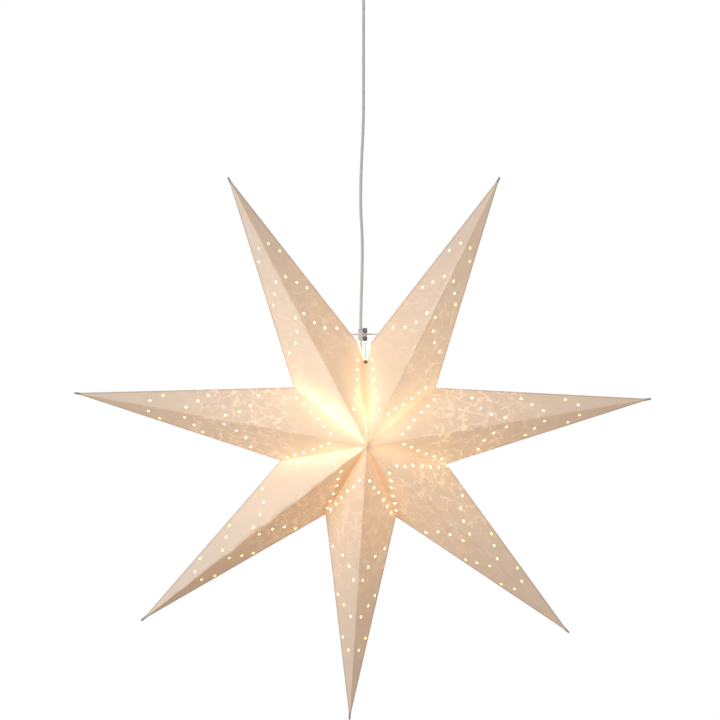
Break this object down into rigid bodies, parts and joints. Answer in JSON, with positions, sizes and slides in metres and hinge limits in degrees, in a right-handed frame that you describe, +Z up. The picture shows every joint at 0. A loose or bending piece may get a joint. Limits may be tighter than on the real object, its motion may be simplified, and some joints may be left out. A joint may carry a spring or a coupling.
{
  "type": "moravian star pendant",
  "caption": "Folded paper star shade that hangs on its cord over an E14 lamp, with punched holes, cord clamp, hanger wire and ceiling cup.",
  "frame": {"origin": "middle of the ceiling bracket's top face, where it lies on the ceiling", "axes": "+Z up out of the ceiling face, star hanging along -Z with its broad face towards -Y, +X to the right"},
  "size_m": [0.7424, 0.14, 1.0195],
  "materials": {
    "star_paper": "matt warm white card, lit from inside",
    "dark_steel": "dark burnished steel",
    "bright_steel": "zinc plated",
    "white_plastic": "satin moulded",
    "black_plastic": "moulded",
    "clear_plastic": "natural polyamide",
    "brass": "stamped",
    "bulb_cap": "rolled thread",
    "frosted_glass": "frosted, lit",
    "clear_glass": "clear",
    "filament": "glowing coil",
    "cord_sheath": "smooth extruded sheath",
    "lead_sheath": "smooth extruded"
  },
  "bodies": {
    "ceiling": {"ceiling_bracket": "bright_steel"},
    "hook": {"hanger_hook": "bright_steel"},
    "hanger": {"cord_hanger": "white_plastic", "grip_screws": "bright_steel", "terminal_block": "clear_plastic", "terminal_screws": "brass", "terminal_leads": "lead_sheath"},
    "pendant": {"mains_cord": "cord_sheath", "cord_nipple": "white_plastic", "holder_cap": "white_plastic", "holder_body": "white_plastic", "holder_insulator": "black_plastic", "socket_shell": "brass", "centre_contact": "brass"},
    "canopy": {"canopy_cup": "white_plastic", "canopy_gland": "white_plastic", "gland_screw": "white_plastic"},
    "clamp": {"clamp_bar": "dark_steel", "clamp_strap": "bright_steel", "wire_keeper": "dark_steel", "clamp_screws": "dark_steel", "clamp_nuts": "bright_steel", "hanger_wire": "bright_steel"},
    "star": {"arm_top_left": "star_paper", "arm_top_right": "star_paper", "arm_right": "star_paper", "arm_lower_right": "star_paper", "arm_bottom": "star_paper", "arm_lower_left": "star_paper", "arm_left": "star_paper", "seam_pin": "dark_steel", "seam_link": "bright_steel"},
    "ring": {"shade_ring": "white_plastic"},
    "bulb": {"bulb_glass": "frosted_glass", "bulb_screw_cap": "bulb_cap", "bulb_foot_insulator": "black_plastic", "bulb_contact": "brass", "bulb_stem": "clear_glass", "filament": "filament"}
  },
  "joints": [
    {"name": "hook_swing", "type": "hinge", "parent": "ceiling", "child": "hook", "pos_m": [0, 0, -0.017], "axis": [1, 0, 0], "range_deg": [-4, 4]},
    {"name": "hanger_swing", "type": "hinge", "parent": "hook", "child": "hanger", "pos_m": [0, 0, -0.034], "axis": [0, 1, 0], "range_deg": [-4, 4]},
    {"name": "pendant_turn", "type": "hinge", "parent": "hanger", "child": "pendant", "pos_m": [0, 0, -0.057], "axis": [0, 0, 1], "range_deg": [-180, 180]},
    {"name": "canopy_slide", "type": "slide", "parent": "pendant", "child": "canopy", "axis": [0, 0, -1], "range_m": [0, 0.12]},
    {"name": "clamp_slide", "type": "slide", "parent": "pendant", "child": "clamp", "axis": [0, 0, 1], "range_m": [0, 0.012]},
    {"name": "star_tilt", "type": "hinge", "parent": "clamp", "child": "star", "pos_m": [0.00145, 0, -0.5117], "axis": [1, 0, 0], "range_deg": [-4, 4]},
    {"name": "shade_ring_turn", "type": "hinge", "parent": "pendant", "child": "ring", "pos_m": [-0.00255, 0, -0.599], "axis": [0, 0, 1], "range_deg": [-180, 180]},
    {"name": "bulb_unscrew", "type": "slide", "parent": "pendant", "child": "bulb", "axis": [0, 0, -1], "range_m": [0, 0.022]}
  ]
}
